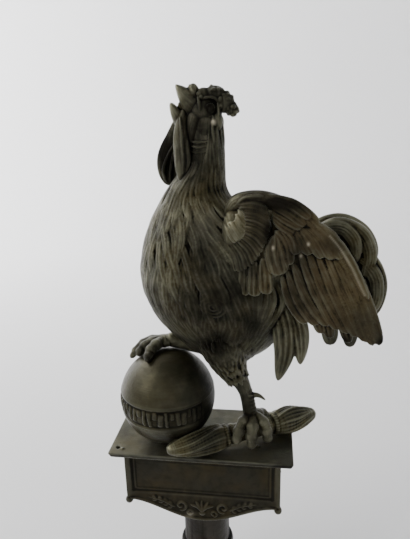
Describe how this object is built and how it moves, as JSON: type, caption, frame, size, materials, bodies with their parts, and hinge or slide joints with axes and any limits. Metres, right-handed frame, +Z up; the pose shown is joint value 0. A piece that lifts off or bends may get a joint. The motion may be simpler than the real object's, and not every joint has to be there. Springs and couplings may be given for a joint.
{
  "type": "flagpole finial",
  "caption": "Cast-bronze flagpole finial: a crowing cock on a globe and a thunderbolt, over a hollow box with a pole socket.",
  "frame": {"origin": "centre of the socket's open mouth, where the pole goes in", "axes": "+Z up along the pole, -X the way the cock faces, -Y its left side"},
  "size_m": [0.1838, 0.0802, 0.3846],
  "materials": {
    "cock_bronze": "dark olive-brown patina, rubbed on the ridges",
    "globe_bronze": "smooth dark patina with a brown tint",
    "thunderbolt_bronze": "dark olive patina",
    "plate_bronze": "dull dark patina",
    "box_bronze": "dull dark patina with rubbed edges",
    "socket_bronze": "dull brown patina"
  },
  "bodies": {
    "root": {"rooster": "cock_bronze", "globe": "globe_bronze", "thunderbolt": "thunderbolt_bronze", "top_plate": "plate_bronze", "box": "box_bronze", "socket": "socket_bronze"}
  },
  "joints": []
}
